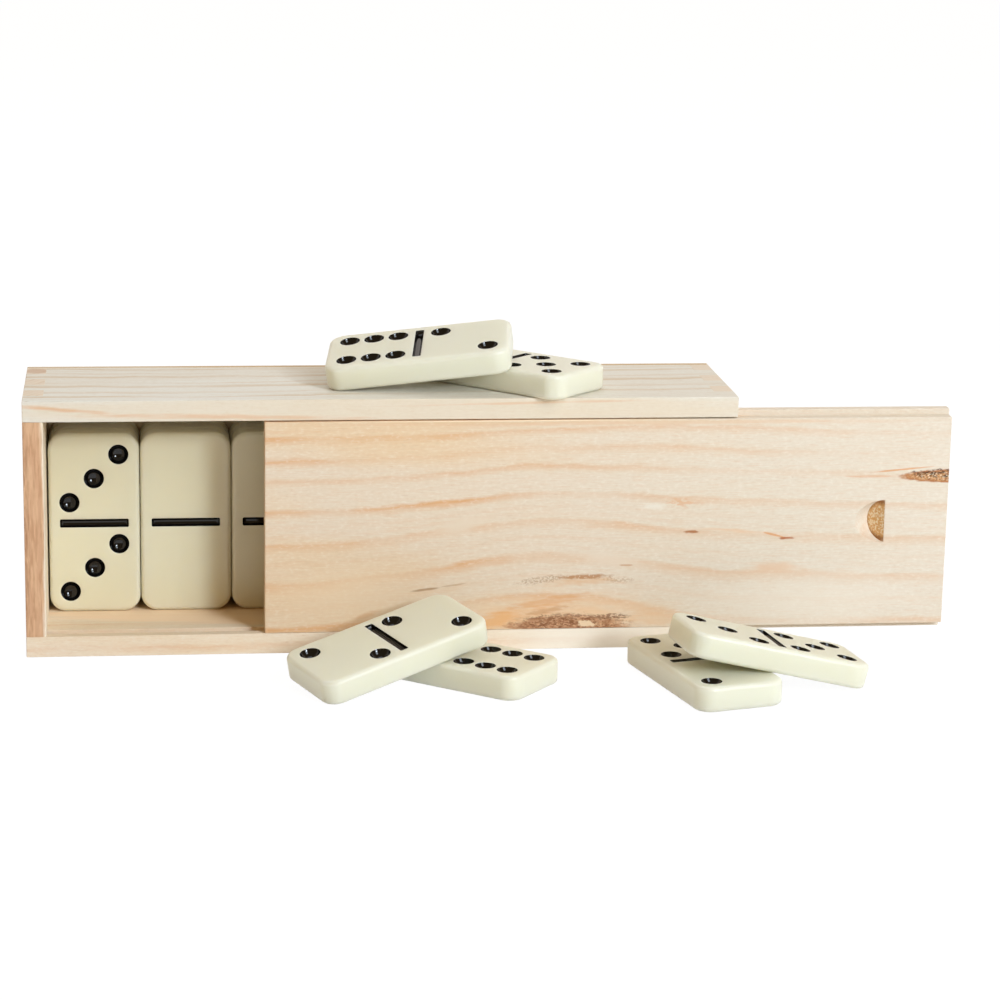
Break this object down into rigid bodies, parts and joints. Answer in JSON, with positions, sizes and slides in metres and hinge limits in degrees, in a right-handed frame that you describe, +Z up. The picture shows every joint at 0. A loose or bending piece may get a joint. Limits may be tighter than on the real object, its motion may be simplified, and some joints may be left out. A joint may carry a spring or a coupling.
{
  "type": "domino box",
  "caption": "Comb-jointed pine box with a rabbeted sliding lid and thumb notch, standing on its side with the lid drawn open, and its set of ivory-coloured dimpled domino tiles.",
  "frame": {"origin": "centre of the long outer face that the box stands on (the underside of the lower side board)", "axes": "+X along the box from the closed end to the open end, the way the lid slides open; +Y from the lid into the box; +Z up"},
  "size_m": [0.2437, 0.1047, 0.0846],
  "materials": {
    "pine_side": "bare planed pine, lightly sanded",
    "pine_end": "bare sawn pine, end grain and edges a little darker",
    "plywood_panel": "bare thin plywood",
    "pine_lid": "bare planed pine with a few small knots",
    "tile_ivory": "polished ivory-coloured resin, pips and bar filled with gloss black enamel"
  },
  "bodies": {
    "box": {"lower_side_board": "pine_side", "upper_side_board": "pine_side", "closed_end_board": "pine_end", "open_end_board": "pine_end", "bottom_panel": "plywood_panel", "tile_0_6": "tile_ivory", "tile_1_2": "tile_ivory", "tile_0_1": "tile_ivory", "tile_1_3": "tile_ivory", "tile_1_4": "tile_ivory", "tile_1_1": "tile_ivory", "tile_1_6": "tile_ivory", "tile_2_3": "tile_ivory", "tile_2_4": "tile_ivory", "tile_3_4": "tile_ivory", "tile_3_6": "tile_ivory", "tile_4_4": "tile_ivory", "tile_4_5": "tile_ivory", "tile_5_5": "tile_ivory", "tile_5_6": "tile_ivory", "tile_6_6": "tile_ivory"},
    "lid": {"sliding_lid": "pine_lid"},
    "tile_0_2": {"tile_0_2": "tile_ivory"},
    "tile_0_4": {"tile_0_4": "tile_ivory"},
    "tile_3_3": {"tile_3_3": "tile_ivory"},
    "tile_0_3": {"tile_0_3": "tile_ivory"},
    "tile_0_5": {"tile_0_5": "tile_ivory"},
    "tile_0_0": {"tile_0_0": "tile_ivory"},
    "tile_1_5": {"tile_1_5": "tile_ivory"},
    "tile_2_6": {"tile_2_6": "tile_ivory"},
    "tile_4_6": {"tile_4_6": "tile_ivory"},
    "tile_2_2": {"tile_2_2": "tile_ivory"},
    "tile_2_5": {"tile_2_5": "tile_ivory"},
    "tile_3_5": {"tile_3_5": "tile_ivory"}
  },
  "joints": [
    {"name": "lid_slide", "type": "slide", "parent": "box", "child": "lid", "axis": [1, 0, 0], "range_m": [-0.0565, 0.126]},
    {"name": "tile_0_2_out", "type": "slide", "parent": "box", "child": "tile_0_2", "axis": [0, -1, 0], "range_m": [0, 0.048]},
    {"name": "tile_0_4_out", "type": "slide", "parent": "tile_0_2", "child": "tile_0_4", "axis": [0, -1, 0], "range_m": [0, 0.041]},
    {"name": "tile_3_3_out", "type": "slide", "parent": "tile_0_4", "child": "tile_3_3", "axis": [0, -1, 0], "range_m": [0, 0.034]},
    {"name": "tile_0_3_out", "type": "slide", "parent": "box", "child": "tile_0_3", "axis": [0, -1, 0], "range_m": [0, 0.048]},
    {"name": "tile_0_5_out", "type": "slide", "parent": "tile_0_3", "child": "tile_0_5", "axis": [0, -1, 0], "range_m": [0, 0.041]},
    {"name": "tile_0_0_out", "type": "slide", "parent": "tile_0_5", "child": "tile_0_0", "axis": [0, -1, 0], "range_m": [0, 0.034]},
    {"name": "tile_1_5_lift", "type": "slide", "parent": "box", "child": "tile_1_5", "axis": [0, 0, 1], "range_m": [0, 0.1]},
    {"name": "tile_2_6_lift", "type": "slide", "parent": "tile_1_5", "child": "tile_2_6", "axis": [0, 0, 1], "range_m": [0, 0.03]},
    {"name": "tile_4_6_lift", "type": "slide", "parent": "box", "child": "tile_4_6", "axis": [0, 0, 1], "range_m": [0, 0.1]},
    {"name": "tile_2_2_lift", "type": "slide", "parent": "tile_4_6", "child": "tile_2_2", "axis": [0, 0, 1], "range_m": [0, 0.03]},
    {"name": "tile_2_5_lift", "type": "slide", "parent": "box", "child": "tile_2_5", "axis": [0, 0, 1], "range_m": [0, 0.1]},
    {"name": "tile_3_5_lift", "type": "slide", "parent": "tile_2_5", "child": "tile_3_5", "axis": [0, 0, 1], "range_m": [0, 0.03]}
  ]
}
